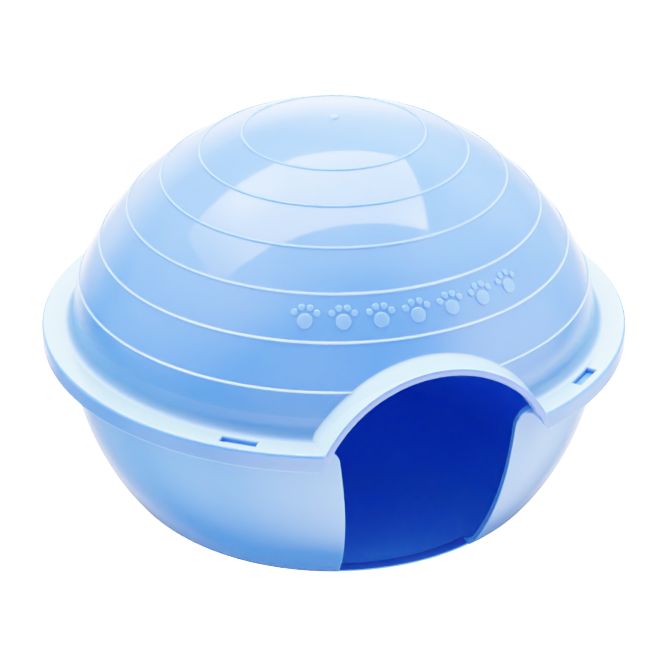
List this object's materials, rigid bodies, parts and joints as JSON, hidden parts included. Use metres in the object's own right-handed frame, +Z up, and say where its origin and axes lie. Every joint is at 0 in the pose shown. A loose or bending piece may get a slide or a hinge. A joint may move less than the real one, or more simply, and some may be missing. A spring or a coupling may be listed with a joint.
{
  "type": "rodent igloo",
  "caption": "Domed plastic nest for a small rodent: a lift-off dome with ring beads and an arched hood over the doorway, on a round bowl with a flat base.",
  "frame": {"origin": "middle of the bowl's round flat base, on the surface the igloo stands on", "axes": "+Z up through the middle of the dome, -Y straight out of the doorway, +X across the doorway"},
  "size_m": [0.17, 0.1639, 0.1163],
  "materials": {
    "bowl_plastic": "glossy moulded light blue",
    "dome_plastic": "glossy moulded light blue"
  },
  "bodies": {
    "bowl": {"bowl": "bowl_plastic"},
    "dome": {"dome": "dome_plastic"}
  },
  "joints": [
    {"name": "dome_lift", "type": "slide", "parent": "bowl", "child": "dome", "axis": [0, 0, 1], "range_m": [0, 0.08]}
  ]
}
